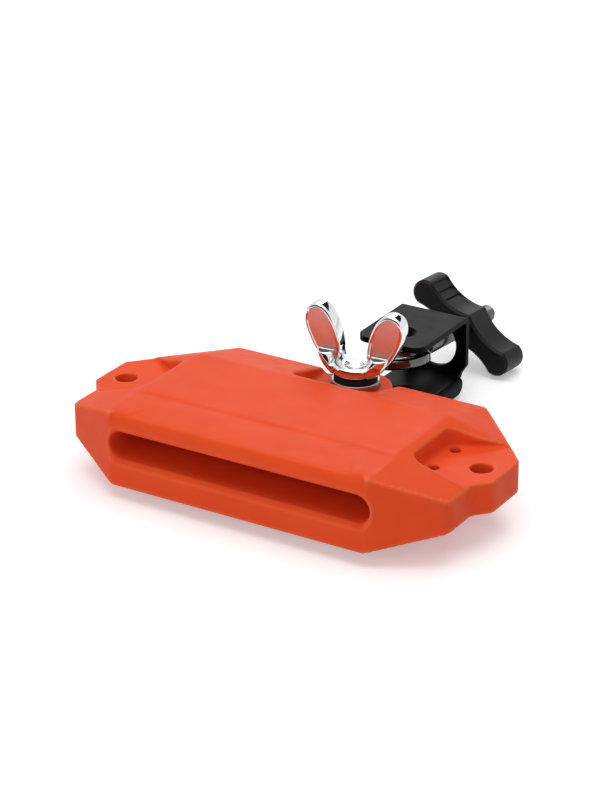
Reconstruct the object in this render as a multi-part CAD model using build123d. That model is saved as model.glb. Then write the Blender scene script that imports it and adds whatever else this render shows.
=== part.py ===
from build123d import *
import math
import os

# A moulded percussion block on a bent-steel rod clamp, in millimetres, +Z up.
# The pieces are drawn about the upright pivot bolt: its axis is X = Y = 0, and Z = 0 is the top of
# the clamp's lower arm, on which the block's boss turns. The slot faces -Y, the clamp is at +Y.
# The last step moves everything to the clamp's own reference, the middle of its rod holes.

# Block, plan and heights
block_length = 190.0
block_depth = 101.0
block_height = 33.2
block_below_arm = 3.6
bolt_to_back = 4.8
end_face_half = 60.0
ridge_half = 59.2
front_lobe_half = 89.0
roof_foot_half = 88.6
ear_top_drop = 9.5
rear_facet_depth = 32.9
rear_facet_drop = 9.3
edge_round = 1.8
shoulder_round = 6.0
front_corner_round = 3.0
lobe_round = 5.0
step_round = 4.0
back_corner_round = 3.0

# Ears, measured from the line through the ear holes
ear_line_from_back = 51.8
ear_hole_inset = 10.0
ear_hole_radius = 4.75
ear_front_reach = 33.6
ear_step_start = 15.4
ear_step_end = 8.6
ear_back_reach = 9.0
pocket_wall_foot = 64.6
pocket_draft = 9.0
pocket_front_reach = 19.0
pocket_back_reach = 11.2
pocket_back_flare = 22.0
pocket_corner_round = 4.0
pin_hole_radius = 2.4
pin_hole_depth = 10.0
pin_hole_inset = 26.6
pin_hole_spacing = 18.4

# Sound slot
slot_length = 122.4
slot_height = 12.1
slot_centre_height = 17.95
slot_depth = 68.0
slot_draft = 0.6
rim_width = 1.9

# Front band of the top
band_depth = 24.3
band_drop = 0.45
panel_depth = 14.8
panel_half = 40.0
panel_slope = 3.0

# Rear seat and boss
seat_half = 18.0
seat_front = 21.5
seat_height = 18.4
seat_draft = 12.0
seat_corner_round = 5.0
boss_radius = 15.5

# Pivot bolt, washers and wing nut
bolt_radius = 4.0
bolt_above_hub = 0.4
running_fit = 0.06
head_radius = 8.6
head_height = 4.2
head_flats = 5
neck_side = 8.0
neck_clearance = 0.1
washer_radius = 10.4
washer_thickness = 1.6
ring_radius = 9.4
ring_thickness = 2.0
hub_base_radius = 9.8
hub_side_radius = 10.6
hub_height = 5.4
hub_shoulder = 2.6
hub_dish = 1.2
hub_mouth_radius = 6.6
wing_tip_reach = 16.4
wing_tip_rise = 24.8
wing_tip_radius = 7.0
wing_root_reach = 10.4
wing_root_rise = 7.6
wing_root_radius = 5.2
wing_half_thickness = 3.6
wing_chamfer = 1.0
pad_rim = 0.7
pad_sink = 0.7
pad_foot_rise = 11.9
wing_turn = 5.5

# Clamp bracket
sheet = 2.5
clamp_gap = 25.5
clamp_width = 32.0
plate_from_bolt = 68.8
flange_reach = 42.0
flange_corner = 5.5
bend_radius = 1.5
arm_half = 13.3
arm_end_radius = 13.0
lip_start = 6.0
lip_depth = 7.0
lip_corner = 4.0
lip_bend = 2.2
lip_gap_to_plate = 2.5
notch_height = 4.5
rod_from_bolt = 40.3
rod_radius = 6.0
plate_hole_radius = 11.0

# Eye bolt, which hangs slack: the knob's end droops and the eye is rolled about the stud
eye_half_section = 2.4
eye_edge = 0.9
eye_clearance = 1.5
eye_droop = 5.0
eye_roll = 12.0
stud_radius = 4.0
stud_chamfer = 0.8
stud_past_knob = 11.5
neck_collar_radius = 5.0
neck_collar_length = 4.0

# Two-armed knob
knob_gap_to_plate = 21.0
knob_depth = 17.0
knob_arm_reach = 22.6
knob_end_radius = 6.2
knob_hub_radius = 8.2
knob_waist = 4.6
knob_blend = 2.0
knob_chamfer = 1.1
knob_tilt = 33.6
knob_bore_clearance = 0.2
grip_steps = 3
grip_pitch = 4.6
grip_sink = 0.8
grip_margin = 1.8
insert_radius = 5.4
insert_recess = 3.0
insert_length = 12.0

# Cutters run past the faces that they open by this much, and places this close count as one
overshoot = 4.0
touch = 0.01

# Levels and places that follow from the sizes above
block_bottom = -block_below_arm
block_top = block_bottom + block_height
block_back = bolt_to_back
block_front = block_back - block_depth
ear_top = block_top - ear_top_drop
ear_bottom = block_bottom + ear_top_drop
ear_line = block_back - ear_line_from_back
ear_hole_x = block_length / 2 - ear_hole_inset
washer_top = seat_height + washer_thickness
nut_base = washer_top + ring_thickness
hub_top = nut_base + hub_height
stud_axis = clamp_gap / 2
plate_back = plate_from_bolt + sheet
eye_mid_radius = rod_radius + eye_clearance + eye_half_section
knob_front = plate_back + knob_gap_to_plate
# Half length of what runs across the whole part
reach = block_length


def prism(sketch, low, high):
    """Extrude a plan sketch upward from one level to another."""
    return extrude(Plane.XY.offset(low) * sketch, high - low)


def mirrored(part):
    """A part with its copy on the other side of the middle plane."""
    return part + mirror(part, Plane.YZ)


def block_outline():
    """Plan outline: hexagonal ends with a front lobe, a rounded step and the ear lobe."""
    half = block_length / 2
    side = [
        (end_face_half, block_front),
        (front_lobe_half, ear_line - ear_front_reach),
        (front_lobe_half, ear_line - ear_step_start),
        (half, ear_line - ear_step_end),
        (half, ear_line + ear_back_reach),
        (end_face_half, block_back),
    ]
    rounds = [front_corner_round, lobe_round, step_round, step_round, lobe_round, back_corner_round]
    other = [(-x, y) for x, y in reversed(side)]
    outline = make_face(Polyline(*side, *other, close=True))
    for (x, y), radius in zip(side + other, rounds + rounds[::-1]):
        corner = outline.vertices().sort_by_distance(Vector(x, y, 0))[0]
        outline = fillet(corner, radius)
    return outline


def end_profile():
    """Front view of the block: flat top, sloping end roofs and ears, the same below."""
    half = [
        (ridge_half, block_top),
        (roof_foot_half, ear_top),
        (reach, ear_top),
        (reach, ear_bottom),
        (roof_foot_half, ear_bottom),
        (ridge_half, block_bottom),
    ]
    other = [(-x, z) for x, z in reversed(half)]
    profile = make_face(Polyline(*half, *other, close=True))
    bends = profile.vertices().filter_by(lambda v: abs(v.X) < reach - touch)
    return Plane.XZ * fillet(bends, edge_round)


def rear_fall():
    """What is cut away over the back third: a rounded shoulder, then a straight fall."""
    slope = math.atan2(rear_facet_drop, rear_facet_depth)
    tangent = shoulder_round * math.tan(slope / 2)
    start = block_back - rear_facet_depth
    beyond = rear_facet_depth + overshoot
    centre = (start - tangent, block_top - shoulder_round)
    arc = CenterArc(centre, shoulder_round, 90, -math.degrees(slope))
    far = (start + beyond, block_top - beyond * math.tan(slope))
    rest = Polyline(
        arc @ 1,
        far,
        (far[0], block_top + overshoot),
        (start - tangent, block_top + overshoot),
        arc @ 0,
    )
    return extrude(Plane.YZ * make_face([arc, rest]), reach, both=True)


def front_edge():
    """What is cut away along the front's upper edge to round it."""
    corner = block_top - edge_round
    arc = CenterArc((block_front + edge_round, corner), edge_round, 90, 90)
    rest = Polyline(
        arc @ 1,
        (block_front - overshoot, corner),
        (block_front - overshoot, block_top + overshoot),
        (block_front + edge_round, block_top + overshoot),
        arc @ 0,
    )
    return extrude(Plane.YZ * make_face([arc, rest]), reach, both=True)


def ear_pocket():
    """Recess over the right ear: flat floor, drafted walls and a back wall that flares outward."""
    front = ear_line - pocket_front_reach
    back = ear_line + pocket_back_reach
    outer = block_length / 2 + overshoot
    flare = (outer - pocket_wall_foot) * math.tan(math.radians(pocket_back_flare))
    floor = make_face(Polyline(
        (pocket_wall_foot, front),
        (outer, front),
        (outer, back + flare),
        (pocket_wall_foot, back),
        close=True,
    ))
    floor = fillet(floor.vertices().group_by(Axis.X)[0], pocket_corner_round)
    return extrude(Plane.XY.offset(ear_top) * floor, block_top - ear_top, taper=-pocket_draft)


def sound_slot():
    """Slot and chamber cored from the front, with a bevelled rim at the mouth."""
    height = block_bottom + slot_centre_height
    mouth = Plane((0, block_front, height), x_dir=(1, 0, 0), z_dir=(0, 1, 0))
    chamber = extrude(mouth * SlotOverall(slot_length, slot_height), slot_depth, taper=slot_draft)
    rim = extrude(
        mouth * SlotOverall(slot_length + 2 * rim_width, slot_height + 2 * rim_width),
        rim_width,
        taper=45,
    )
    return chamber + rim


def front_band():
    """Shallow step across the top in front, and a sloping panel with curved ends in it."""
    band_back = block_front + band_depth
    band = make_face(Polyline(
        (band_back, block_top),
        (band_back - band_drop, block_top - band_drop),
        (block_front - overshoot, block_top - band_drop),
        (block_front - overshoot, block_top + overshoot),
        (band_back, block_top + overshoot),
        close=True,
    ))
    step = extrude(Plane.YZ * band, reach, both=True)
    panel_back = block_front + panel_depth
    fall = panel_depth * math.tan(math.radians(panel_slope))
    wedge = make_face(Polyline(
        (panel_back, block_top - band_drop),
        (block_front, block_top - band_drop - fall),
        (block_front, block_top),
        (panel_back, block_top),
        close=True,
    ))
    curve = Spline(
        (panel_half, panel_back),
        (end_face_half, block_front),
        tangents=((1, 0), (1, 0)),
    )
    other = mirror(curve, Plane.YZ)
    ends = make_face([
        curve,
        other,
        Line((-panel_half, panel_back), (panel_half, panel_back)),
        Line((-end_face_half, block_front), (end_face_half, block_front)),
    ])
    panel = extrude(Plane.YZ * wedge, reach, both=True) & prism(ends, block_bottom, block_top)
    return step + panel


def rear_seat():
    """Drafted recess that is open at the back, over the washer's seat."""
    length = seat_front + bolt_to_back + overshoot
    floor = Pos(0, length / 2 - seat_front) * Rectangle(2 * seat_half, length)
    floor = fillet(floor.vertices().group_by(Axis.Y)[0], seat_corner_round)
    return extrude(Plane.XY.offset(seat_height) * floor, block_top - seat_height, taper=-seat_draft)


def make_block():
    body = prism(block_outline(), block_bottom - overshoot, block_top + overshoot)
    body = body & extrude(end_profile(), reach, both=True)
    middle = Plane.XY.offset(block_bottom + block_height / 2)
    for cut in (rear_fall(), front_edge()):
        body = body - cut - mirror(cut, middle)
    pockets = mirrored(ear_pocket())
    body = body - pockets - mirror(pockets, middle)
    body = body - rear_seat() - sound_slot() - front_band()
    body = body + prism(Circle(boss_radius), 0, seat_height)
    bore = prism(Circle(bolt_radius + running_fit), block_bottom - overshoot, seat_height + overshoot)
    body = body - bore
    ear = prism(Pos(ear_hole_x, ear_line) * Circle(ear_hole_radius), block_bottom, block_top)
    body = body - mirrored(ear)
    pin_x = block_length / 2 - pin_hole_inset
    for side in (-1, 1):
        pin = Pos(pin_x, ear_line + side * pin_hole_spacing / 2) * Circle(pin_hole_radius)
        body = body - mirrored(prism(pin, ear_top - pin_hole_depth, block_top))
    return body


def make_bracket():
    """One bent plate: long lower arm with down-turned lips, back plate and upper flange."""
    inner = plate_from_bolt
    outer = plate_back
    front = outer - flange_reach - sheet
    profile = make_face(Polyline(
        (0, 0),
        (inner, 0),
        (inner, clamp_gap),
        (front, clamp_gap),
        (front, clamp_gap + sheet),
        (outer, clamp_gap + sheet),
        (outer, -sheet),
        (0, -sheet),
        close=True,
    ))
    inside = profile.vertices().filter_by(lambda v: abs(v.X - inner) < touch)
    profile = fillet(inside, bend_radius)
    outside = profile.vertices().filter_by(lambda v: abs(v.X - outer) < touch)
    profile = fillet(outside, bend_radius + sheet)
    strip = extrude(Plane.YZ * profile, clamp_width / 2, both=True)
    # The strip is full width down to the notch, and as wide as the arm below it
    wide = Pos(0, 0, notch_height) * Box(
        clamp_width, 2 * reach, reach, align=(Align.CENTER, Align.CENTER, Align.MIN))
    half_end = make_face(Polyline(
        (-clamp_width / 2, notch_height),
        (clamp_width / 2, notch_height),
        (arm_half, 0),
        (arm_half, -sheet - overshoot),
        (-arm_half, -sheet - overshoot),
        (-arm_half, 0),
        close=True,
    ))
    narrow = extrude(Plane.XZ * half_end, reach, both=True)
    strip = strip & (wide + narrow)
    strip = strip + prism(Circle(arm_end_radius), -sheet, 0)
    # Lips along both sides of the arm
    lip_end = plate_from_bolt - lip_gap_to_plate
    lip = make_face(Polyline(
        (lip_start, 0),
        (lip_end, 0),
        (lip_end, -lip_depth),
        (lip_start, -lip_depth),
        close=True,
    ))
    low = lip.vertices().group_by(Axis.Y)[0]
    lip = fillet(low, lip_corner)
    outer_face = clamp_width / 2
    plate = extrude(Plane.YZ.offset(arm_half) * lip, outer_face - arm_half)
    top_edge = plate.edges().filter_by(Axis.Y).group_by(Axis.Z)[-1].sort_by(Axis.X)[-1]
    plate = fillet(top_edge, min(lip_bend, outer_face - arm_half - touch))
    strip = strip + mirrored(plate)
    # Rounded front corners of the flange
    tips = strip.edges().filter_by(Axis.Z).filter_by(
        lambda e: abs(e.center().Y - front) < touch and e.center().Z > clamp_gap)
    strip = fillet(tips, flange_corner)
    through = sheet + overshoot
    rod = prism(Pos(0, rod_from_bolt) * Circle(rod_radius), -through, clamp_gap + through)
    hole = Plane.XZ.offset(overshoot - plate_from_bolt) * Pos(0, stud_axis) * Circle(plate_hole_radius)
    strip = strip - rod - extrude(hole, -through - overshoot)
    square = neck_side + 2 * neck_clearance
    return strip - prism(Rectangle(square, square), -through, overshoot)


def make_carriage_bolt():
    top = hub_top + bolt_above_hub
    inside = -sheet - head_height / 2
    shank = prism(Circle(bolt_radius), inside, top)
    shank = chamfer(shank.edges().group_by(Axis.Z)[-1], stud_chamfer)
    neck = prism(Rectangle(neck_side, neck_side), inside, -neck_clearance)
    # The head is a cap of a ball, turned in narrow flats
    ball = (head_radius**2 + head_height**2) / (2 * head_height)
    whole_turn = math.asin(head_radius / ball)
    lowest = -sheet - head_height
    turns = [whole_turn * flat / head_flats for flat in range(head_flats + 1)]
    arc = [(ball * math.sin(turn), lowest + ball * (1 - math.cos(turn))) for turn in turns]
    dome = make_face(Polyline(*arc, (0, -sheet), close=True))
    head = revolve(Plane.XZ * dome, Axis.Z)
    return head + neck + shank


def washer(outer, thickness, level):
    """Flat ring round the pivot bolt, resting at a level."""
    return prism(Circle(outer) - Circle(bolt_radius + running_fit), level, level + thickness)


def wing_shape(inset):
    """Front view of one wing, drawn in by an inset for its flat."""
    tip = Pos(wing_tip_reach, nut_base + wing_tip_rise) * Circle(wing_tip_radius - inset)
    root = Pos(wing_root_reach, nut_base + wing_root_rise) * Circle(wing_root_radius - inset)
    edges = tip.edges() + root.edges()
    return Plane.XZ * make_hull(edges)


def make_wing_nut():
    """Squat hub with a sloping shoulder and a dished top, and two wings with sunken flats."""
    hub = revolve(Plane.XZ * make_face(Polyline(
        (0, nut_base),
        (hub_base_radius, nut_base),
        (hub_side_radius, hub_top - hub_shoulder),
        (hub_side_radius - hub_shoulder, hub_top),
        (hub_mouth_radius, hub_top),
        (hub_mouth_radius - hub_dish, hub_top - hub_dish),
        (0, hub_top - hub_dish),
        close=True,
    )), Axis.Z)
    wing = extrude(wing_shape(0), wing_half_thickness, both=True)
    rim = wing.edges().filter_by(lambda e: abs(abs(e.center().Y) - wing_half_thickness) < touch)
    wing = chamfer(rim, wing_chamfer)
    pad = extrude(wing_shape(pad_rim), 2 * wing_half_thickness, both=True)
    upper = Pos(0, 0, nut_base + pad_foot_rise) * Box(
        reach, reach, reach, align=(Align.CENTER, Align.CENTER, Align.MIN))
    core = Box(reach, 2 * (wing_half_thickness - pad_sink), reach)
    wing = wing - ((pad & upper) - core)
    well = prism(Circle(hub_mouth_radius - hub_dish), hub_top - hub_dish, hub_top + overshoot)
    bore = prism(Circle(bolt_radius + running_fit), nut_base - overshoot, hub_top)
    nut = hub + (mirrored(wing) - well) - bore
    return Rot(0, 0, wing_turn) * nut


def hung(part):
    """Turn a piece of the eye bolt's group about the middle of the plate's hole, as it droops."""
    pivot = Pos(0, plate_from_bolt + sheet / 2, stud_axis)
    return pivot * Rot(-eye_droop, 0, 0) * pivot.inverse() * part


def make_eye_bolt():
    """Ring of square section with broken edges round the rod, and a stud that leaves through the plate."""
    section = Pos(eye_mid_radius, 0) * Rectangle(2 * eye_half_section, 2 * eye_half_section)
    ring = revolve(Plane.XZ * chamfer(section.vertices(), eye_edge), Axis.Z)
    end = knob_front + knob_depth + stud_past_knob - rod_from_bolt
    along = Plane((0, eye_mid_radius, 0), x_dir=(1, 0, 0), z_dir=(0, 1, 0))
    stud = extrude(along * Circle(stud_radius), end - eye_mid_radius)
    stud = chamfer(stud.edges().group_by(Axis.Y)[-1], stud_chamfer)
    # The shank swells where it runs into the ring
    bell = loft([
        along * Circle(eye_half_section),
        along.offset(eye_half_section) * Circle(neck_collar_radius),
        along.offset(eye_half_section + neck_collar_length) * Circle(stud_radius),
    ], ruled=True)
    inside = prism(Circle(rod_radius + eye_clearance), -overshoot - stud_radius, overshoot + stud_radius)
    eye = ring + (stud + bell - inside)
    return hung(Pos(0, rod_from_bolt, stud_axis) * Rot(0, -eye_roll, 0) * eye)


def knob_flank():
    """One flank of the knob, a hollow curve from the hub's ridge to the arm's round end."""
    waist = (knob_hub_radius + knob_arm_reach) / 2
    return ThreePointArc((0, knob_hub_radius), (waist, knob_waist), (knob_arm_reach, knob_end_radius))


def knob_outline():
    """Bow-tie outline of the knob: round ends, hollow flanks and a ridge over the hub."""
    right = knob_flank()
    left = mirror(right, Plane.YZ)
    flanks = [right, left, mirror(right, Plane.XZ), mirror(left, Plane.XZ)]
    ends = [
        ThreePointArc(
            (side * knob_arm_reach, knob_end_radius),
            (side * (knob_arm_reach + knob_end_radius), 0),
            (side * knob_arm_reach, -knob_end_radius),
        )
        for side in (-1, 1)
    ]
    outline = make_face(flanks + ends)
    return fillet(outline.vertices(), knob_blend)


def grip_teeth():
    """Saw teeth to cut into one flank, each falling towards the arm's end."""
    flank = knob_flank()
    share = grip_pitch / flank.length
    teeth = []
    for step in range(grip_steps):
        outer = flank.position_at(1 - share * step)
        inner = flank.position_at(1 - share * (step + 1))
        deep = outer + (inner - outer).normalized().rotate(Axis.Z, 90) * grip_sink
        teeth.append(make_face(Polyline(outer, deep, inner, close=True)))
    return teeth


def knob_face(depth):
    """Plane at a depth in the knob, with its X along the arms, which slope down to the right."""
    tilt = math.radians(knob_tilt)
    return Plane(
        (0, knob_front + depth, stud_axis),
        x_dir=(math.cos(tilt), 0, -math.sin(tilt)),
        z_dir=(0, 1, 0),
    )


def make_knob():
    """Two-armed knob with saw-toothed grips on one flank of each arm."""
    body = extrude(knob_face(0) * knob_outline(), knob_depth)
    body = chamfer(body.edges().filter_by(GeomType.CIRCLE), knob_chamfer)
    for tooth in grip_teeth():
        for turn in (0, 180):
            cut = knob_face(grip_margin) * Rot(0, 0, turn) * tooth
            body = body - extrude(cut, knob_depth - 2 * grip_margin)
    seat = extrude(knob_face(insert_recess) * Circle(insert_radius), insert_length)
    bore = extrude(knob_face(0) * Circle(stud_radius + knob_bore_clearance), knob_depth)
    return hung(body - seat - bore)


def make_insert():
    """Threaded sleeve moulded into the knob."""
    ring = Circle(insert_radius) - Circle(stud_radius + running_fit)
    return hung(extrude(knob_face(insert_recess) * ring, insert_length))


pieces = {
    "block_body": make_block(),
    "bracket": make_bracket(),
    "carriage_bolt": make_carriage_bolt(),
    "flat_washer": washer(washer_radius, washer_thickness, seat_height),
    "ring_washer": washer(ring_radius, ring_thickness, washer_top),
    "wing_nut": make_wing_nut(),
    "eye_bolt": make_eye_bolt(),
    "knob": make_knob(),
    "knob_insert": make_insert(),
}

# The finished frame has its origin in the middle of the rod's way through the clamp
to_frame = Pos(0, -rod_from_bolt, -stud_axis)
os.makedirs("parts", exist_ok=True)
for name, piece in pieces.items():
    export_step(to_frame * piece, f"parts/{name}.step")
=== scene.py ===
import math

import bmesh
import bpy
from mathutils import Matrix, Vector


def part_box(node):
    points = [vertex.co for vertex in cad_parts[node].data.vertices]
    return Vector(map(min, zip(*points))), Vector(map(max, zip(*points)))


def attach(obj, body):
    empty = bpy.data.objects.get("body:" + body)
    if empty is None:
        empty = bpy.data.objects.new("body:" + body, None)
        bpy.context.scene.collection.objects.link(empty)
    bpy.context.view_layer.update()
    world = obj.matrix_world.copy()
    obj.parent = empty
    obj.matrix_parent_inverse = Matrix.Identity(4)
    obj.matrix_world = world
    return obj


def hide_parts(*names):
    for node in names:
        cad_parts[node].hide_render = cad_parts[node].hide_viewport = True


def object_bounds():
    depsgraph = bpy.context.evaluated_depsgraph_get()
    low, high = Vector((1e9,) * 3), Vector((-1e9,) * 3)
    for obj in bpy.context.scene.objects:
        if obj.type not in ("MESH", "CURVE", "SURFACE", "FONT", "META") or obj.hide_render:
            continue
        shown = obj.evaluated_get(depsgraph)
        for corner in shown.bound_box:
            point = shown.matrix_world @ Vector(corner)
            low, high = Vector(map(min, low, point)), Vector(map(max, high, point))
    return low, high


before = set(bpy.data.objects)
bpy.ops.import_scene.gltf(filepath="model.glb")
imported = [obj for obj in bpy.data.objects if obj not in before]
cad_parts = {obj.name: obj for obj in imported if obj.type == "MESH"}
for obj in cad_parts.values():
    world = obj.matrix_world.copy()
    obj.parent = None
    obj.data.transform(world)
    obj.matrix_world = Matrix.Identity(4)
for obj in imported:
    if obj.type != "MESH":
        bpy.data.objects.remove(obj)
cad_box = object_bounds()

bl_info = {
    "name": "Slotted block with rod clamp",
    "version": (1, 0, 0),
    "blender": (4, 5, 0),
    "location": "View3D > Sidebar > Block",
    "description": "Dresses the packed slotted block, its clamp and its plated screws, "
                   "and sets the studio",
    "category": "Add Mesh",
}

MM = 0.001

# Distance at which points are welded, angle in degrees past which an edge is sharp, and the dull
# shine of plastic, rubber and cloth
WELD = 1e-6
SHARP = 28.0
DULL_SHINE = 0.06

# Steps once round a turned piece, the root of a wing, the stud's core and its thread
TURN_STEPS = 72
ROOT_STEPS = 36
CORE_STEPS = 48
THREAD_STEPS = 28

# The eye bolt's stud: it starts behind the neck and ends past the knob, measured from the eye's
# middle, and droops about the middle of the back plate's hole
STUD_RADIUS = 4.0 * MM
STUD_START = 18.7 * MM
STUD_END = 80.5 * MM
STUD_DROOP = math.radians(5.0)
STUD_PIVOT = Vector((0.0, 29.75 * MM, 0.0))
# How far the foot of the thread lies inside the core
THREAD_FOOT = 0.02 * MM

# The block's rear corners: the wall across each corner runs from its inner to its outer end. Points
# near it and past its start move out, at the outer end by the whole spread. The facet over the wall
# rises from a level edge, which lies the drop under the top, to the end of the roof's ridge
CORNER_IN = Vector((60.0, -35.5, 0.0)) * MM
CORNER_OUT = Vector((95.0, -78.3, 0.0)) * MM
CORNER_SPREAD = 4.5 * MM
CORNER_DROP = 9.2 * MM
CORNER_START = 1.0 * MM
CORNER_NEAR = 1.2 * MM
RIDGE_END = Vector((59.2, -68.4, 0.0)) * MM

# The block's upper front corners, which the front's round leaves sharp: where each starts sideways,
# the depth and height it takes up, the slant of its inner side, and the steps of the round
FRONT_REACH = 60.0 * MM
FRONT_DEPTH = 12.0 * MM
FRONT_HEIGHT = 6.4 * MM
FRONT_SLANT = 0.9
FRONT_STEPS = 8

# Smoothing rounds on the moulded and the cast skin, the cast skin's fineness, and the span of
# the surface's pointedness over which a painted highlight pales the moulding's convex edges
BLOCK_ROUNDS = 2
CAST_ROUNDS = 40
CAST_SKIN = 0.25 * MM
EDGE_SPAN = (0.508, 0.56)

# The wing nut, measured from the middle of its base: turned bowl as (radius, height), sections of
# one wing's root as (reach, height, half width, half depth), and one wing's outline: its middle as
# (reach, height), its lean, its half width and its reach up and down along the lean
NUT_BOWL = (
    (4.06, 0.0), (7.8, 0.0), (7.8, 1.8), (8.8, 2.0), (9.5, 2.8), (10.1, 4.1), (10.3, 5.4), (10.2, 6.1),
    (9.7, 6.7), (9.0, 7.0), (8.2, 7.0), (7.5, 6.7), (7.0, 6.2), (6.3, 6.0), (5.0, 6.0), (4.6, 5.2),
    (4.06, 5.0), (4.06, 0.0),
)
NUT_ROOT = (
    (5.6, 2.1, 4.4, 7.4), (7.2, 4.2, 5.0, 8.6), (9.0, 6.6, 5.3, 8.9), (10.8, 9.2, 5.1, 8.6),
    (12.4, 11.9, 4.7, 7.8),
)
WING_MIDDLE = (14.9, 21.0)
WING_LEAN = math.radians(21.3)
WING_HALF_WIDTH = 6.7
WING_UP = 10.8
WING_DOWN = 17.0
WING_FULLNESS = 2.3
# Fillet along the foot of a pad: its middle's reach, its length and its size
FOOT_REACH = 12.4
FOOT_LENGTH = 7.6
FOOT_SIZE = 0.42
NUT_TURN = math.radians(5.5)
# The root's flat inner side and its lean, the bolt's end over its solid, the soft ring with its
# collar, and the thick washer under it
NUT_MOUTH = 7.6 * MM
NUT_MOUTH_LEAN = 0.10
BOLT_RISE = 1.6 * MM
NUT_RING = (
    (4.06, -0.4), (9.4, -0.4), (9.4, 1.7), (7.85, 1.7), (7.85, 0.0), (4.06, 0.0), (4.06, -0.4),
)
NUT_WASHER = ((4.06, -3.6), (10.4, -3.6), (10.4, -0.4), (4.06, -0.4), (4.06, -3.6))

# The studio, measured from the middle of the part: lamps with their place, size, power and whether
# they show in reflections, and dark cards with their place and size
LAMPS = (
    ("overhead", (0.05, -0.05, 0.9), (1.1, 0.9), "key", True),
    ("front", (-0.15, -1.0, 0.40), (0.7, 0.5), "fill", False),
    ("high_behind", (-0.38, 0.80, 0.58), (0.5, 0.3), "back", True),
)
CARDS = (
    ("dark_front", (0.0, -1.6, 0.90), (5.0, 1.5)),
    ("dark_back", (0.40, 1.6, 1.25), (1.5, 0.80)),
)
FLOOR_SIZE = (8.0, 8.0)
FLOOR_GAP = 0.5 * MM
FLOOR_GLOW = 0.35


# Property groups

class BlockLook(bpy.types.PropertyGroup):
    """Colours and surface of the moulded block."""

    colour: bpy.props.FloatVectorProperty(
        name="Colour", description="Main red of the moulding", subtype="COLOR", size=3,
        default=(0.84, 0.084, 0.020), min=0.0, max=1.0)
    flow_colour: bpy.props.FloatVectorProperty(
        name="Flow colour", description="Slightly deeper red where the melt flowed", subtype="COLOR",
        size=3, default=(0.81, 0.076, 0.018), min=0.0, max=1.0)
    roughness: bpy.props.FloatProperty(
        name="Roughness", description="Base roughness of the satin skin", subtype="FACTOR",
        default=0.46, min=0.0, max=1.0)
    grain_size: bpy.props.FloatProperty(
        name="Grain size", description="Size of the mould's fine grain", subtype="DISTANCE",
        unit="LENGTH", default=0.35 * MM)
    grain_depth: bpy.props.FloatProperty(
        name="Grain depth", description="Bump distance of the fine grain", subtype="DISTANCE",
        unit="LENGTH", default=0.012 * MM)
    skin: bpy.props.FloatProperty(
        name="Skin", description="Fineness of the moulding's skin", subtype="DISTANCE",
        unit="LENGTH", default=0.90 * MM)
    # The two settings below paint a highlight into the base colour along the convex edges, in place of
    # the sheen on their rounding
    edge_highlight_colour: bpy.props.FloatVectorProperty(
        name="Edge colour", description="Paler plastic along rubbed edges", subtype="COLOR",
        size=3, default=(0.92, 0.19, 0.075), min=0.0, max=1.0)
    edge_highlight_strength: bpy.props.FloatProperty(
        name="Edge wear", description="How far the edges have paled", subtype="FACTOR",
        default=0.8, min=0.0, max=1.0)
    front_round: bpy.props.FloatProperty(
        name="Front round", description="Radius along the front's upper edge", subtype="DISTANCE",
        unit="LENGTH", default=6.0 * MM)


class ClampLook(bpy.types.PropertyGroup):
    """Paint of the bent clamp and plastic of its knob."""

    paint: bpy.props.FloatVectorProperty(
        name="Paint", description="Black enamel on the bracket", subtype="COLOR", size=3,
        default=(0.0018, 0.0018, 0.0015), min=0.0, max=1.0)
    paint_roughness: bpy.props.FloatProperty(
        name="Paint roughness", description="Base roughness of the enamel", subtype="FACTOR",
        default=0.38, min=0.0, max=1.0)
    paint_shine: bpy.props.FloatProperty(
        name="Paint shine", description="Specular level of the enamel", subtype="FACTOR",
        default=0.04, min=0.0, max=1.0)
    knob: bpy.props.FloatVectorProperty(
        name="Knob", description="Black plastic of the knob", subtype="COLOR", size=3,
        default=(0.0020, 0.0020, 0.0023), min=0.0, max=1.0)
    knob_roughness: bpy.props.FloatProperty(
        name="Knob roughness", description="Base roughness of the knob", subtype="FACTOR",
        default=0.42, min=0.0, max=1.0)
    knob_shine: bpy.props.FloatProperty(
        name="Knob shine", description="Specular level of the knob", subtype="FACTOR",
        default=0.16, min=0.0, max=1.0)
    sleeve: bpy.props.FloatVectorProperty(
        name="Sleeve", description="Brass of the knob's threaded sleeve", subtype="COLOR", size=3,
        default=(0.72, 0.52, 0.22), min=0.0, max=1.0)
    edge_round: bpy.props.FloatProperty(
        name="Edge round", description="Width of the broken sheet edges", subtype="DISTANCE",
        unit="LENGTH", default=0.30 * MM)


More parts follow.
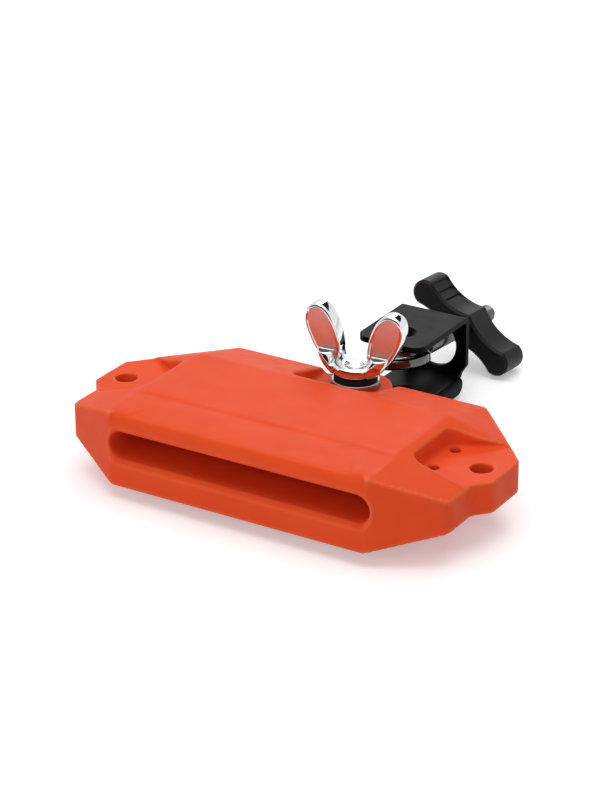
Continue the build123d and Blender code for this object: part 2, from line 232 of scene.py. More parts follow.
class ScrewLook(bpy.types.PropertyGroup):
    """Plating and thread of the screws."""

    plating: bpy.props.FloatVectorProperty(
        name="Plating", description="Bright plating on the nut, the washer and the bolts",
        subtype="COLOR", size=3, default=(0.80, 0.80, 0.82), min=0.0, max=1.0)
    plating_roughness: bpy.props.FloatProperty(
        name="Plating roughness", description="Base roughness of the plating", subtype="FACTOR",
        default=0.07, min=0.0, max=1.0)
    wing_thickness: bpy.props.FloatProperty(
        name="Wing thickness", description="Thickness of the nut's wings at their rim",
        subtype="DISTANCE", unit="LENGTH", default=7.4 * MM)
    wing_round: bpy.props.FloatProperty(
        name="Wing round", description="Rounding of the wings' rim", subtype="DISTANCE",
        unit="LENGTH", default=1.3 * MM)
    pad_rim: bpy.props.FloatProperty(
        name="Pad rim", description="Width of the rim round the sunken pad", subtype="DISTANCE",
        unit="LENGTH", default=0.30 * MM)
    pad_sink: bpy.props.FloatProperty(
        name="Pad sink", description="Depth of the pads on the wings", subtype="DISTANCE",
        unit="LENGTH", default=0.35 * MM)
    pad_colour: bpy.props.FloatVectorProperty(
        name="Pad colour", description="Satin plating on the pads", subtype="COLOR", size=3,
        default=(0.82, 0.82, 0.83), min=0.0, max=1.0)
    pad_roughness: bpy.props.FloatProperty(
        name="Pad roughness", description="Base roughness of the pads", subtype="FACTOR",
        default=0.34, min=0.0, max=1.0)
    washer: bpy.props.FloatVectorProperty(
        name="Washer", description="Greyer plating on the flat washer", subtype="COLOR", size=3,
        default=(0.36, 0.36, 0.37), min=0.0, max=1.0)
    eye_dulling: bpy.props.FloatProperty(
        name="Eye dulling", description="Share of the plating's brightness left on the eye bolt",
        subtype="FACTOR", default=0.17, min=0.0, max=1.0)
    eye_roughness: bpy.props.FloatProperty(
        name="Eye roughness", description="Base roughness of the eye bolt", subtype="FACTOR",
        default=0.15, min=0.0, max=1.0)
    eye_round: bpy.props.FloatProperty(
        name="Eye round", description="Width of the eye's broken edges", subtype="DISTANCE",
        unit="LENGTH", default=0.40 * MM)
    pitch: bpy.props.FloatProperty(
        name="Pitch", description="Pitch of the eye bolt's thread", subtype="DISTANCE",
        unit="LENGTH", default=1.25 * MM)
    thread_depth: bpy.props.FloatProperty(
        name="Thread depth", description="Depth of the thread from its crest", subtype="DISTANCE",
        unit="LENGTH", default=0.62 * MM)


class StageLook(bpy.types.PropertyGroup):
    """Camera, floor and lamps of the studio."""

    camera: bpy.props.FloatVectorProperty(
        name="Camera", description="Place of the camera", subtype="TRANSLATION", unit="LENGTH",
        size=3, default=(0.5454, -0.9820, 0.49185))
    target: bpy.props.FloatVectorProperty(
        name="Target", description="Point in the middle of the picture", subtype="TRANSLATION",
        unit="LENGTH", size=3, default=(0.03951, -0.14837, 0.04968))
    focal: bpy.props.FloatProperty(
        name="Focal length", description="Lens on a sensor 24 mm high", unit="CAMERA",
        default=84.62)
    key: bpy.props.FloatProperty(
        name="Key", description="Power of the large lamp overhead", unit="POWER", default=6.0)
    fill: bpy.props.FloatProperty(
        name="Fill", description="Power of the lamp in front", unit="POWER", default=2.1)
    back: bpy.props.FloatProperty(
        name="Back", description="Power of the lamp high behind", unit="POWER", default=1.8)
    sky: bpy.props.FloatProperty(
        name="Sky", description="Strength of the even light all round", default=0.30, min=0.0)
    floor: bpy.props.FloatVectorProperty(
        name="Floor", description="Colour of the pale floor", subtype="COLOR", size=3,
        default=(0.90, 0.90, 0.90), min=0.0, max=1.0)


# Shared shader groups

def new_group(name, inputs, outputs):
    """An empty shader group with float inputs and float outputs."""
    group = bpy.data.node_groups.new(name, "ShaderNodeTree")
    for label, value in inputs:
        socket = group.interface.new_socket(label, in_out="INPUT", socket_type="NodeSocketFloat")
        socket.default_value = value
    for label in outputs:
        group.interface.new_socket(label, in_out="OUTPUT", socket_type="NodeSocketFloat")
    start = group.nodes.new("NodeGroupInput")
    end = group.nodes.new("NodeGroupOutput")
    return group, start, end


def noise(tree, scale, detail, coordinates):
    """A noise texture on given coordinates."""
    node = tree.nodes.new("ShaderNodeTexNoise")
    node.inputs["Detail"].default_value = detail
    if isinstance(scale, (int, float)):
        node.inputs["Scale"].default_value = scale
    else:
        tree.links.new(scale, node.inputs["Scale"])
    tree.links.new(coordinates, node.inputs["Vector"])
    return node.outputs["Fac"]


def remap(tree, value, low, high, to_low, to_high):
    """A value mapped from one span to another, held inside it."""
    node = tree.nodes.new("ShaderNodeMapRange")
    span = (("From Min", low), ("From Max", high), ("To Min", to_low), ("To Max", to_high))
    for label, number in span:
        node.inputs[label].default_value = number
    tree.links.new(value, node.inputs["Value"])
    return node.outputs["Result"]


def blend_values(tree, operation, first, second):
    """Two values joined by a math operation; the second may be a plain number."""
    node = tree.nodes.new("ShaderNodeMath")
    node.operation = operation
    tree.links.new(first, node.inputs[0])
    if isinstance(second, (int, float)):
        node.inputs[1].default_value = second
    else:
        tree.links.new(second, node.inputs[1])
    return node.outputs["Value"]


def grain_group():
    """Fine moulded or painted grain: a height for bump, a cloud for colour and a gloss change."""
    group, start, end = new_group(
        "surface_grain",
        [("Grain Scale", 3000.0), ("Cloud Scale", 40.0)],
        ["Height", "Cloud", "Gloss"])
    place = group.nodes.new("ShaderNodeTexCoord").outputs["Object"]
    fine = noise(group, start.outputs["Grain Scale"], 3.0, place)
    cloud = noise(group, start.outputs["Cloud Scale"], 4.0, place)
    wide = noise(group, 120.0, 2.0, place)
    group.links.new(fine, end.inputs["Height"])
    group.links.new(remap(group, cloud, 0.35, 0.65, 0.0, 1.0), end.inputs["Cloud"])
    group.links.new(remap(group, wide, 0.3, 0.7, -0.05, 0.05), end.inputs["Gloss"])
    return group


def handling_group():
    """Marks of use: thin rubbed lines and faint dust patches."""
    group, start, end = new_group(
        "handling_marks",
        [("Line Scale", 900.0), ("Dust Scale", 60.0)],
        ["Lines", "Dust"])
    place = group.nodes.new("ShaderNodeTexCoord").outputs["Object"]
    stretch = group.nodes.new("ShaderNodeMapping")
    stretch.inputs["Scale"].default_value = (0.06, 1.0, 0.5)
    stretch.inputs["Rotation"].default_value = (0.3, 0.2, 0.6)
    group.links.new(place, stretch.inputs["Vector"])
    lines = noise(group, start.outputs["Line Scale"], 2.0, stretch.outputs["Vector"])
    dust = noise(group, start.outputs["Dust Scale"], 6.0, place)
    group.links.new(remap(group, lines, 0.60, 0.74, 0.0, 1.0), end.inputs["Lines"])
    group.links.new(remap(group, dust, 0.58, 0.75, 0.0, 1.0), end.inputs["Dust"])
    return group


def place_group(tree, name, maker, values):
    """A node of a shared group with its own values; the group is made the first time."""
    node = tree.nodes.new("ShaderNodeGroup")
    node.node_tree = bpy.data.node_groups.get(name) or maker()
    for label, value in values.items():
        node.inputs[label].default_value = value
    return node


def surface(tree, grain_scale, cloud_scale, line_scale, dust_scale):
    """The two shared groups of a surface: its grain and its marks of use."""
    grain = place_group(tree, "surface_grain", grain_group,
                        {"Grain Scale": grain_scale, "Cloud Scale": cloud_scale})
    marks = place_group(tree, "handling_marks", handling_group,
                        {"Line Scale": line_scale, "Dust Scale": dust_scale})
    return grain, marks


def new_material(name):
    """A material with its principled shader and node tree."""
    material = bpy.data.materials.new(name)
    material.use_nodes = True
    tree = material.node_tree
    return material, tree, tree.nodes["Principled BSDF"]


def mix_colour(tree, factor, first, second):
    """Two colours mixed by a value."""
    node = tree.nodes.new("ShaderNodeMix")
    node.data_type = "RGBA"
    tree.links.new(factor, node.inputs["Factor"])
    for socket, colour in (("A", first), ("B", second)):
        slot = [s for s in node.inputs if s.name == socket and s.type == "RGBA"][0]
        if isinstance(colour, bpy.types.NodeSocket):
            tree.links.new(colour, slot)
        else:
            slot.default_value = (*colour, 1.0)
    return [s for s in node.outputs if s.type == "RGBA"][0]


def bump(tree, shader, height, strength, distance):
    """Bump from a height, on the shader's normal."""
    node = tree.nodes.new("ShaderNodeBump")
    node.inputs["Strength"].default_value = strength
    node.inputs["Distance"].default_value = distance
    tree.links.new(height, node.inputs["Height"])
    tree.links.new(node.outputs["Normal"], shader.inputs["Normal"])


def moulded_red(look):
    """Satin red moulding with fine grain, melt flow, a little dust and a painted highlight along the
    convex edges.
    """
    material, tree, shader = new_material("moulded_red")
    grain, marks = surface(tree, 1.0 / look.grain_size, cloud_scale=45.0, line_scale=700.0,
                           dust_scale=90.0)
    flow = mix_colour(tree, grain.outputs["Cloud"], tuple(look.colour), tuple(look.flow_colour))
    veil = blend_values(tree, "MULTIPLY", marks.outputs["Dust"], 0.05)
    paler = tuple(min(1.0, c * 0.9 + 0.10) for c in look.colour)
    clean = mix_colour(tree, veil, flow, paler)
    # Painted highlight: the base colour pales where the surface is most pointed, along the convex
    # edges
    shape = tree.nodes.new("ShaderNodeNewGeometry").outputs["Pointiness"]
    edge_highlight_mask = remap(tree, shape, *EDGE_SPAN, 0.0, look.edge_highlight_strength)
    highlighted_edges = mix_colour(tree, edge_highlight_mask, clean, tuple(look.edge_highlight_colour))
    tree.links.new(highlighted_edges, shader.inputs["Base Color"])
    gloss = blend_values(tree, "ADD", grain.outputs["Gloss"], look.roughness)
    rubbed = blend_values(tree, "MULTIPLY", marks.outputs["Lines"], 0.05)
    tree.links.new(blend_values(tree, "ADD", gloss, rubbed), shader.inputs["Roughness"])
    shader.inputs["Specular IOR Level"].default_value = DULL_SHINE
    bump(tree, shader, grain.outputs["Height"], strength=0.5, distance=look.grain_depth)
    return material


def black_finish(name, colour, roughness, shine, grain_scale, depth):
    """Black enamel or plastic with its own grain and faint handling marks."""
    material, tree, shader = new_material(name)
    grain, marks = surface(tree, grain_scale, cloud_scale=60.0, line_scale=800.0, dust_scale=140.0)
    shader.inputs["Specular IOR Level"].default_value = shine
    paler = tuple(c * 1.5 + 0.001 for c in colour)
    tone = mix_colour(tree, grain.outputs["Cloud"], tuple(colour), paler)
    dusty = blend_values(tree, "MULTIPLY", marks.outputs["Dust"], 0.06)
    tree.links.new(mix_colour(tree, dusty, tone, (0.10, 0.098, 0.095)), shader.inputs["Base Color"])
    gloss = blend_values(tree, "ADD", grain.outputs["Gloss"], roughness)
    rubbed = blend_values(tree, "MULTIPLY", marks.outputs["Lines"], -0.06)
    tree.links.new(blend_values(tree, "ADD", gloss, rubbed), shader.inputs["Roughness"])
    bump(tree, shader, grain.outputs["Height"], strength=0.5, distance=depth)
    return material


def plated(name, colour, roughness, waviness):
    """Bright plating over cast or turned metal, with fine polishing lines."""
    material, tree, shader = new_material(name)
    grain, marks = surface(tree, grain_scale=900.0, cloud_scale=80.0, line_scale=1600.0,
                           dust_scale=200.0)
    shader.inputs["Metallic"].default_value = 1.0
    duller = tuple(c * 0.90 for c in colour)
    tree.links.new(mix_colour(tree, grain.outputs["Cloud"], tuple(colour), duller),
                   shader.inputs["Base Color"])
    lines = blend_values(tree, "MULTIPLY", marks.outputs["Lines"], 0.10)
    tree.links.new(blend_values(tree, "ADD", lines, roughness), shader.inputs["Roughness"])
    bump(tree, shader, grain.outputs["Height"], strength=0.3, distance=waviness)
    return material


def soft_black():
    """Dull black rubber."""
    return black_finish("soft_black", (0.012, 0.012, 0.012), roughness=0.72, shine=DULL_SHINE,
                        grain_scale=1800.0, depth=0.02 * MM)


# Pieces

def finish_piece(name, mesh, body, material, replaces=None):
    """Links a finished mesh as a piece that rides on a body."""
    mesh.materials.clear()
    mesh.materials.append(material)
    piece = bpy.data.objects.new(name, mesh)
    bpy.context.scene.collection.objects.link(piece)
    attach(piece, body)
    if replaces:
        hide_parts(replaces)
    return piece


def shade(mesh, angle):
    """Smooth shading, kept sharp along edges over an angle."""
    for polygon in mesh.polygons:
        polygon.use_smooth = True
    mesh.set_sharp_from_angle(angle=math.radians(angle))


def welded_copy(node):
    """A node's mesh as one welded bmesh."""
    work = bmesh.new()
    work.from_mesh(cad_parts[node].data)
    bmesh.ops.remove_doubles(work, verts=work.verts, dist=WELD)
    return work


def merged_copy(node):
    """A node's welded mesh with its flat faces whole."""
    work = welded_copy(node)
    bmesh.ops.dissolve_limit(work, angle_limit=math.radians(0.4), verts=work.verts, edges=work.edges)
    return work


def add_shell(whole, part):
    """Moves a shell from a bmesh of its own into a larger one."""
    mesh = bpy.data.meshes.new("shell")
    part.to_mesh(mesh)
    part.free()
    whole.from_mesh(mesh)
    bpy.data.meshes.remove(mesh)


def mesh_from(work, name, angle=SHARP):
    """A shaded mesh from a bmesh, without the normals that came with the node."""
    mesh = bpy.data.meshes.new(name)
    work.to_mesh(mesh)
    work.free()
    layer = mesh.attributes.get("custom_normal")
    if layer:
        mesh.attributes.remove(layer)
    shade(mesh, angle)
    return mesh


def blend(piece, voxel, rounds):
    """Joins a piece's overlapping shells into one skin and smooths it, as a casting is."""
    skin = piece.modifiers.new("one_skin", "REMESH")
    skin.mode = "VOXEL"
    skin.voxel_size = voxel
    skin.use_smooth_shade = True
    smooth = piece.modifiers.new("smooth_casting", "SMOOTH")
    smooth.factor = 0.5
    smooth.iterations = rounds


def soften(piece, width, segments):
    """Rounds a piece's sharp edges."""
    round_off = piece.modifiers.new("soft_edges", "BEVEL")
    round_off.width = width
    round_off.segments = segments
    round_off.limit_method = "ANGLE"
    round_off.angle_limit = math.radians(SHARP)
    round_off.harden_normals = True
    round_off.use_clamp_overlap = True


def dressed_copy(node, body, material, width):
    """A merged copy of a node's mesh with soft edges, if any, which stands for the node."""
    mesh = mesh_from(merged_copy(node), node + "_dressed")
    piece = finish_piece(node + "_dressed", mesh, body, material, node)
    if width:
        soften(piece, width, segments=2)


def slice_off(work, point, normal, geom=None):
    """Cuts away what lies past a plane, of all the mesh or of a part of it, and closes the cut."""
    geom = geom or work.verts[:] + work.edges[:] + work.faces[:]
    cut = bmesh.ops.bisect_plane(work, geom=geom, plane_co=point, plane_no=normal, clear_outer=True)
    rim = [item for item in cut["geom_cut"] if isinstance(item, bmesh.types.BMEdge)]
    bmesh.ops.holes_fill(work, edges=rim)


def front_corner(work, side, low, high):
    """The block's upper front corner on one side, which the front's round leaves sharp."""
    corner = work.copy()
    start = Vector((side * FRONT_REACH, low[1], high[2]))
    slice_off(corner, start + Vector((0.0, FRONT_DEPTH, 0.0)), Vector((0.0, 1.0, 0.0)))
    slice_off(corner, start - Vector((0.0, 0.0, FRONT_HEIGHT)), Vector((0.0, 0.0, -1.0)))
    slice_off(corner, start, Vector((-side, -FRONT_SLANT, 0.0)).normalized())
    return corner


def spread_corners(work):
    """Moves the walls across the rear corners out towards the ears."""
    wall = (CORNER_OUT - CORNER_IN).normalized()
    outward = Vector((-wall.y, wall.x, 0.0))
    for vert in work.verts:
        place = Vector((abs(vert.co.x), vert.co.y, 0.0)) - CORNER_IN
        if place.x > CORNER_START and place.dot(outward) > -CORNER_NEAR:
            vert.co.y += CORNER_SPREAD * place.x / (CORNER_OUT.x - CORNER_IN.x)


def cut_corner(work, side, level, edge):
    """Cuts one rear corner's facet, from its level edge to the ridge at the top or the bottom."""
    inner = Vector((side * CORNER_IN.x, CORNER_IN.y, edge))
    outer = Vector((side * CORNER_OUT.x, CORNER_OUT.y + CORNER_SPREAD, edge))
    ridge = Vector((side * RIDGE_END.x, RIDGE_END.y, level))
    normal = (outer - inner).cross(ridge - inner).normalized()
    if normal.z * (level - edge) < 0.0:
        normal.negate()
    slice_off(work, inner, normal)


def block_mesh(look):
    """The moulding with level facets over its rear corners and a rounded front edge."""
    work = welded_copy("block_body")
    low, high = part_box("block_body")
    spread_corners(work)
    for side in (-1.0, 1.0):
        cut_corner(work, side, high[2], high[2] - CORNER_DROP)
        cut_corner(work, side, low[2], low[2] + CORNER_DROP)
    corners = [front_corner(work, side, low, high) for side in (-1.0, 1.0)]
    axis = Vector((0.0, low[1] + look.front_round, high[2] - look.front_round))
    for step in range(1, FRONT_STEPS):
        turn = math.radians(90.0) * step / FRONT_STEPS
        normal = Vector((0.0, -math.sin(turn), math.cos(turn)))
        slice_off(work, axis + normal * look.front_round, normal)
    for corner in corners:
        add_shell(work, corner)
    bmesh.ops.recalc_face_normals(work, faces=work.faces)
    return mesh_from(work, "block_moulded")


class WOODBLOCK_OT_block(bpy.types.Operator):
    """Dresses the moulded block in satin red"""

    bl_idname = "woodblock.block"
    bl_label = "Moulded block"

    def execute(self, context):
        look = context.scene.block_look
        red = moulded_red(look)
        block = finish_piece("block_moulded", block_mesh(look), "block", red, "block_body")
        blend(block, look.skin, BLOCK_ROUNDS)
        return {"FINISHED"}


class WOODBLOCK_OT_clamp(bpy.types.Operator):
    """Dresses the bent bracket in black enamel"""

    bl_idname = "woodblock.clamp"
    bl_label = "Clamp bracket"

    def execute(self, context):
        look = context.scene.clamp_look
        enamel = black_finish("black_enamel", look.paint, look.paint_roughness, look.paint_shine,
                              grain_scale=1400.0, depth=0.03 * MM)
        dressed_copy("bracket", "clamp", enamel, look.edge_round)
        return {"FINISHED"}


class WOODBLOCK_OT_knob(bpy.types.Operator):
    """Dresses the two-armed knob and its threaded sleeve"""

    bl_idname = "woodblock.knob"
    bl_label = "Knob"

    def execute(self, context):
        look = context.scene.clamp_look
        plastic = black_finish("knob_black", look.knob, look.knob_roughness, look.knob_shine,
                               grain_scale=2200.0, depth=0.02 * MM)
        dressed_copy("knob", "knob", plastic, width=0.2 * MM)
        sleeve = plated("sleeve_brass", look.sleeve, roughness=0.22, waviness=0.01 * MM)
        dressed_copy("knob_insert", "knob", sleeve, width=0.0)
        return {"FINISHED"}


def spun(work, points, steps):
    """Spins a line of (radius, distance) points once round the Y axis and welds the seam."""
    verts = [work.verts.new((radius, along, 0.0)) for radius, along in points]
    edges = [work.edges.new(pair) for pair in zip(verts, verts[1:])]
    bmesh.ops.spin(work, geom=verts + edges, cent=(0.0, 0.0, 0.0), axis=(0.0, 1.0, 0.0),
                   angle=math.tau, steps=steps, use_merge=True)


def turned(profile):
    """A closed line of (radius, height) points in mm, turned about the Y axis."""
    work = bmesh.new()
    spun(work, [(radius * MM, height * MM) for radius, height in profile], TURN_STEPS)
    bmesh.ops.remove_doubles(work, verts=work.verts, dist=WELD)
    return work


def nut_place():
    """Turn and place of the nut: from a frame with its axis along Y to the bolt's upright axis."""
    low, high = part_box("wing_nut")
    middle = Vector(((low[0] + high[0]) / 2, (low[1] + high[1]) / 2, low[2]))
    upright = Matrix.Rotation(math.radians(90.0), 4, "X")
    return Matrix.Translation(middle) @ Matrix.Rotation(NUT_TURN, 4, "Z") @ upright


def wing_root(work, side):
    """Lofts one wing's swollen root through ovals, and cuts it flat over the bowl's mouth."""
    loops = []
    for reach, height, half_width, half_depth in NUT_ROOT:
        place = Matrix.Translation(Vector((side * reach, height, 0.0)) * MM)
        place = place @ Matrix.Rotation(math.radians(90.0), 4, "X")
        place = place @ Matrix.Diagonal((half_width * MM, half_depth * MM, 1.0, 1.0))
        ring = bmesh.ops.create_circle(work, segments=ROOT_STEPS, radius=1.0, matrix=place)["verts"]
        loops.append(list(dict.fromkeys(e for v in ring for e in v.link_edges)))
    for lower, upper in zip(loops, loops[1:]):
        bmesh.ops.bridge_loops(work, edges=lower + upper)
    bmesh.ops.holes_fill(work, edges=loops[0] + loops[-1])
    mine = {v for loop in loops for e in loop for v in e.verts}
    geom = [v for v in work.verts if v in mine]
    geom += [item for item in work.edges[:] + work.faces[:] if item.verts[0] in mine]
    slice_off(work, (side * NUT_MOUTH, 0.0, 0.0), (-side, NUT_MOUTH_LEAN, 0.0), geom)


def wing_plate(work, side, look):
    """One wing: a leaf-shaped plate with a soft rim, and a sunken pad on both faces, which the wing
    nut step plates in satin.
    """
    ring = bmesh.ops.create_circle(work, cap_ends=True, segments=TURN_STEPS, radius=1.0)["verts"]
    for vert in ring:
        up = vert.co.y > 0.0
        power = 2.0 / WING_FULLNESS if up else 1.0
        across = math.copysign(abs(vert.co.x) ** power, vert.co.x) * WING_HALF_WIDTH
        along = abs(vert.co.y) ** power * WING_UP if up else vert.co.y * WING_DOWN
        reach = WING_MIDDLE[0] + across * math.cos(WING_LEAN) + along * math.sin(WING_LEAN)
        height = WING_MIDDLE[1] + along * math.cos(WING_LEAN) - across * math.sin(WING_LEAN)
        vert.co = Vector((side * reach * MM, height * MM, -look.wing_thickness / 2))
    face = ring[0].link_faces[0]
    grown = bmesh.ops.extrude_face_region(work, geom=[face])["geom"]
    far = [item for item in grown if isinstance(item, bmesh.types.BMVert)]
    bmesh.ops.translate(work, verts=far, vec=(0.0, 0.0, look.wing_thickness))
    flats = [face] + [item for item in grown if isinstance(item, bmesh.types.BMFace)]
    rims = list(dict.fromkeys(e for flat in flats for e in flat.edges))
    bmesh.ops.bevel(work, geom=rims, offset=look.wing_round, segments=5, profile=0.5, affect="EDGES",
                    material=-1, clamp_overlap=True)
    bmesh.ops.recalc_face_normals(work, faces=work.faces)
    broad = sorted(work.faces, key=lambda f: f.calc_area())[-2:]
    bmesh.ops.inset_individual(work, faces=broad, thickness=look.pad_rim, depth=-look.pad_sink)
    pad_level = look.wing_thickness / 2 - look.pad_sink
    for front in (-1, 1):
        place = Matrix.Translation((side * FOOT_REACH * MM, NUT_ROOT[-1][1] * MM, front * pad_level))
        place = place @ Matrix.Rotation(math.radians(45.0), 4, "X")
        place = place @ Matrix.Diagonal((FOOT_LENGTH * MM, FOOT_SIZE * MM, FOOT_SIZE * MM, 1.0))
        bmesh.ops.create_cube(work, size=1.0, matrix=place)


def nut_body_mesh():
    """The nut's turned bowl and the swollen roots of its wings, which the smoothing blends."""
    work = turned(NUT_BOWL)
    for side in (-1, 1):
        wing_root(work, side)
    bmesh.ops.recalc_face_normals(work, faces=work.faces)
    bmesh.ops.transform(work, matrix=nut_place(), verts=work.verts)
    return mesh_from(work, "wing_nut_body", angle=180.0)


def wings_mesh(look):
    """Both wings of the nut."""
    whole = bmesh.new()
    for side in (-1, 1):
        plate = bmesh.new()
        wing_plate(plate, side, look)
        add_shell(whole, plate)
    bmesh.ops.recalc_face_normals(whole, faces=whole.faces)
    bmesh.ops.transform(whole, matrix=nut_place(), verts=whole.verts)
    return mesh_from(whole, "wing_nut_wings", angle=32.0)


def turned_mesh(profile, name):
    """A piece turned about the nut's axis from a closed line of (radius, height) points."""
    work = turned(profile)
    bmesh.ops.recalc_face_normals(work, faces=work.faces)
    bmesh.ops.transform(work, matrix=nut_place(), verts=work.verts)
    return mesh_from(work, name, angle=38.0)


def raised_bolt_mesh():
    """A merged copy of the pivot bolt whose end, over the nut's base, stands higher."""
    work = merged_copy("carriage_bolt")
    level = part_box("wing_nut")[0][2]
    for vert in work.verts:
        if vert.co.z > level:
            vert.co.z += BOLT_RISE
    return mesh_from(work, "carriage_bolt_raised")


class WOODBLOCK_OT_wing_nut(bpy.types.Operator):
    """Dresses the wing nut, its washers and the pivot bolt"""

    bl_idname = "woodblock.wing_nut"
    bl_label = "Wing nut group"

    def execute(self, context):
        look = context.scene.screw_look
        bright = plated("bright_plating", look.plating, look.plating_roughness, waviness=0.006 * MM)
        nut = finish_piece("wing_nut_body", nut_body_mesh(), "nut", bright, "wing_nut")
        blend(nut, CAST_SKIN, CAST_ROUNDS)
        wings = finish_piece("wing_nut_wings", wings_mesh(look), "nut", bright)
        satin = plated("satin_pads", look.pad_colour, look.pad_roughness, waviness=0.004 * MM)
        wings.data.materials.append(satin)
        # The two pads on each wing are the four broadest faces
        for pad in sorted(wings.data.polygons, key=lambda polygon: polygon.area)[-4:]:
            pad.material_index = 1
        bolt = finish_piece("carriage_bolt_raised", raised_bolt_mesh(), "clamp", bright,
                            "carriage_bolt")
        soften(bolt, width=0.2 * MM, segments=2)
        steel = plated("washer_steel", look.washer, roughness=0.30, waviness=0.001 * MM)
        washer = turned_mesh(NUT_WASHER, "flat_washer_turned")
        washer = finish_piece("flat_washer_turned", washer, "block", steel, "flat_washer")
        soften(washer, width=0.5 * MM, segments=3)
        ring = turned_mesh(NUT_RING, "ring_washer_collared")
        ring = finish_piece("ring_washer_collared", ring, "nut", soft_black(),
                            "ring_washer")
        soften(ring, width=0.4 * MM, segments=2)
        return {"FINISHED"}


def wound(work, profile, start, pitch, turns, per_turn):
    """Winds a line of (radius, share of the pitch) points along the Y axis as a screw thread."""
    verts = [work.verts.new((radius, start + share * pitch, 0.0)) for radius, share in profile]
    edges = [work.edges.new(pair) for pair in zip(verts, verts[1:])]
    bmesh.ops.spin(work, geom=verts + edges, cent=(0.0, 0.0, 0.0), axis=(0.0, 1.0, 0.0),
                   dvec=(0.0, pitch / per_turn, 0.0), angle=math.tau * turns, steps=per_turn * turns)


def made_since(work, kept):
    """The points of a mesh that are not among those kept."""
    return [vert for vert in work.verts if vert not in kept]


def eye_bolt_mesh(look):
    """The eye and its neck with broken edges, and a rolled thread in place of the plain stud."""
    work = merged_copy("eye_bolt")
    droop = Matrix.Translation(STUD_PIVOT) @ Matrix.Rotation(-STUD_DROOP, 4, "X")
    droop = droop @ Matrix.Translation(-STUD_PIVOT)
    sharp = [e for e in work.edges
             if len(e.link_faces) == 2 and e.calc_face_angle() > math.radians(SHARP)]
    bmesh.ops.bevel(work, geom=sharp, offset=look.eye_round, segments=2, profile=0.5, affect="EDGES",
                    material=-1, clamp_overlap=True)
    # The plain stud goes behind the neck, and the cut is closed
    slice_off(work, droop @ Vector((0.0, STUD_START, 0.0)), droop.to_3x3() @ Vector((0.0, 1.0, 0.0)))
    kept = set(work.verts)
    # Core of the stud, with a plain stretch before the thread and a chamfered end
    crest = STUD_RADIUS
    root = crest - look.thread_depth
    thread_start = STUD_START + look.pitch
    chamfer = look.thread_depth * 0.8
    spun(work, [
        (0.0, STUD_START),
        (crest, STUD_START),
        (crest, thread_start),
        (root, thread_start + look.thread_depth),
        (root, STUD_END - chamfer),
        (root - chamfer, STUD_END),
        (0.0, STUD_END),
    ], CORE_STEPS)
    turns = int((STUD_END - thread_start) / look.pitch) - 1
    under = root - THREAD_FOOT
    ridge = [(under, 0.0), (crest * 0.99, 0.42), (crest, 0.5), (crest * 0.99, 0.58), (under, 1.0)]
    wound(work, ridge, STUD_END - (turns + 1) * look.pitch, look.pitch, turns, THREAD_STEPS)
    for vert in made_since(work, kept):
        # The last turn runs out into the chamfer of the stud's end
        room = root - chamfer + (STUD_END - vert.co.y)
        radius = math.hypot(vert.co.x, vert.co.z)
        if radius > room > 0.0:
            vert.co.x *= room / radius
            vert.co.z *= room / radius
    bmesh.ops.remove_doubles(work, verts=made_since(work, kept), dist=WELD)
    bmesh.ops.transform(work, matrix=droop, verts=made_since(work, kept))
    bmesh.ops.recalc_face_normals(work, faces=work.faces)
    return mesh_from(work, "eye_bolt_threaded", angle=40.0)


class WOODBLOCK_OT_eye_bolt(bpy.types.Operator):
    """Makes the eye bolt with its rolled thread"""

    bl_idname = "woodblock.eye_bolt"
    bl_label = "Eye bolt"

    def execute(self, context):
        look = context.scene.screw_look
        dull = tuple(c * look.eye_dulling for c in look.plating)
        metal = plated("eye_plating", dull, look.eye_roughness, waviness=0.006 * MM)
        finish_piece("eye_bolt_threaded", eye_bolt_mesh(look), "eye", metal, "eye_bolt")
        return {"FINISHED"}


# Stage

def seen_plainly(tree):
    """One for rays from the camera, off a mirror or through glass, and nought for the rest."""
    path = tree.nodes.new("ShaderNodeLightPath")
    seen = blend_values(tree, "MAXIMUM", path.outputs["Is Camera Ray"], path.outputs["Is Glossy Ray"])
    return blend_values(tree, "MAXIMUM", seen, path.outputs["Is Transmission Ray"])


def stage_material(name, colour, glow):
    """Pale surface that reads white to the camera and in reflections, and still takes shadow."""
    material, tree, shader = new_material(name)
    shader.inputs["Roughness"].default_value = 0.9
    speckle = noise(tree, 30.0, 3.0, tree.nodes.new("ShaderNodeTexCoord").outputs["Object"])
    second = tuple(c * 0.985 for c in colour)
    tree.links.new(mix_colour(tree, speckle, tuple(colour), second), shader.inputs["Base Color"])
    shader.inputs["Emission Color"].default_value = (1.0, 1.0, 1.0, 1.0)
    strength = blend_values(tree, "MULTIPLY", seen_plainly(tree), glow)
    tree.links.new(strength, shader.inputs["Emission Strength"])
    return material


def aimed(item, place, target):
    """Puts a lamp or camera in its place, turned to a point."""
    item.location = place
    item.rotation_euler = (Vector(target) - Vector(place)).to_track_quat("-Z", "Y").to_euler()
    bpy.context.scene.collection.objects.link(item)
    return item


def area_lamp(name, place, target, size, power):
    """A large oblong lamp that looks at a point."""
    light = bpy.data.lights.new(name, "AREA")
    light.shape = "RECTANGLE"
    light.size, light.size_y = size
    light.energy = power
    return aimed(bpy.data.objects.new(name, light), place, target)


def stage_sheet(name, place, size, tilt, material):
    """A flat sheet of the studio, tilted about X."""
    work = bmesh.new()
    bmesh.ops.create_grid(work, x_segments=1, y_segments=1, size=0.5)
    bmesh.ops.scale(work, verts=work.verts, vec=(*size, 1.0))
    bmesh.ops.rotate(work, verts=work.verts, matrix=Matrix.Rotation(math.radians(tilt), 3, "X"))
    bmesh.ops.translate(work, verts=work.verts, vec=place)
    mesh = bpy.data.meshes.new(name)
    work.to_mesh(mesh)
    work.free()
    mesh.materials.append(material)
    sheet = bpy.data.objects.new(name, mesh)
    bpy.context.scene.collection.objects.link(sheet)
    return sheet


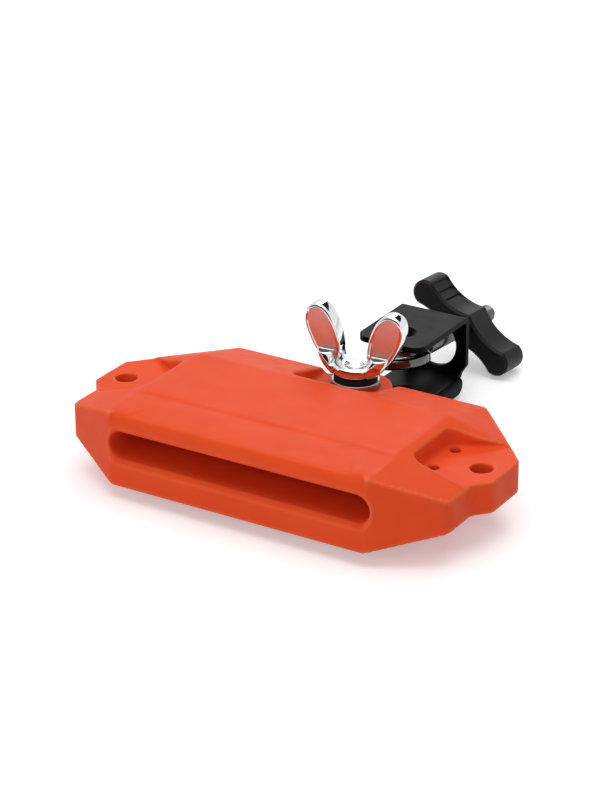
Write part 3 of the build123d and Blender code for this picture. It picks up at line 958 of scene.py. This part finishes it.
class WOODBLOCK_OT_stage(bpy.types.Operator):
    """Sets the camera, the pale floor and the soft lamps"""

    bl_idname = "woodblock.stage"
    bl_label = "Studio"

    def execute(self, context):
        look = context.scene.stage_look
        scene = context.scene
        level = cad_box[0][2] - FLOOR_GAP
        pale = stage_material("pale_floor", look.floor, FLOOR_GLOW)
        stage_sheet("floor", (0.0, 0.0, level), FLOOR_SIZE, tilt=0.0, material=pale)

        camera_data = bpy.data.cameras.new("camera")
        camera_data.sensor_fit = "VERTICAL"
        camera_data.sensor_height = 24.0
        camera_data.lens = look.focal
        camera = bpy.data.objects.new("camera", camera_data)
        scene.camera = aimed(camera, look.camera, look.target)

        centre = Vector(((cad_box[0][i] + cad_box[1][i]) / 2 for i in range(3)))
        for name, place, size, power, mirrored in LAMPS:
            lamp = area_lamp(name, centre + Vector(place), centre, size, getattr(look, power))
            lamp.visible_glossy = mirrored
        # Dark upright cards outside the picture, which only the glossy surfaces mirror
        cloth = black_finish("dark_cloth", (0.02, 0.02, 0.02), roughness=0.9, shine=DULL_SHINE,
                             grain_scale=300.0, depth=0.1 * MM)
        for name, place, size in CARDS:
            card = stage_sheet(name, centre + Vector(place), size, tilt=90.0, material=cloth)
            card.visible_camera = False
            card.visible_diffuse = False
            card.visible_shadow = False

        world = bpy.data.worlds.new("studio")
        scene.world = world
        world.use_nodes = True
        tree = world.node_tree
        strength = remap(tree, seen_plainly(tree), 0.0, 1.0, look.sky, 1.0)
        background = tree.nodes["Background"]
        background.inputs["Color"].default_value = (1.0, 1.0, 1.0, 1.0)
        tree.links.new(strength, background.inputs["Strength"])
        scene.view_settings.view_transform = "Standard"
        return {"FINISHED"}


class WOODBLOCK_PT_panel(bpy.types.Panel):
    """Lists the steps that dress the block"""

    bl_idname = "WOODBLOCK_PT_panel"
    bl_label = "Slotted block"
    bl_space_type = "VIEW_3D"
    bl_region_type = "UI"
    bl_category = "Block"

    def draw(self, context):
        for step in STEPS:
            self.layout.operator(step.bl_idname)
        for label in LOOKS:
            group = getattr(context.scene, label)
            box = self.layout.box()
            for key in group.__annotations__:
                box.prop(group, key)


STEPS = (
    WOODBLOCK_OT_block,
    WOODBLOCK_OT_clamp,
    WOODBLOCK_OT_knob,
    WOODBLOCK_OT_wing_nut,
    WOODBLOCK_OT_eye_bolt,
    WOODBLOCK_OT_stage,
)
LOOKS = {
    "block_look": BlockLook,
    "clamp_look": ClampLook,
    "screw_look": ScrewLook,
    "stage_look": StageLook,
}


def register():
    for group in LOOKS.values():
        bpy.utils.register_class(group)
    for label, group in LOOKS.items():
        setattr(bpy.types.Scene, label, bpy.props.PointerProperty(type=group))
    for step in STEPS:
        bpy.utils.register_class(step)
    bpy.utils.register_class(WOODBLOCK_PT_panel)


def unregister():
    bpy.utils.unregister_class(WOODBLOCK_PT_panel)
    for step in reversed(STEPS):
        bpy.utils.unregister_class(step)
    for label, group in reversed(list(LOOKS.items())):
        delattr(bpy.types.Scene, label)
        bpy.utils.unregister_class(group)


def main():
    register()
    bpy.ops.woodblock.block()
    bpy.ops.woodblock.clamp()
    bpy.ops.woodblock.knob()
    bpy.ops.woodblock.wing_nut()
    bpy.ops.woodblock.eye_bolt()
    bpy.ops.woodblock.stage()


if __name__ == "__main__":
    main()
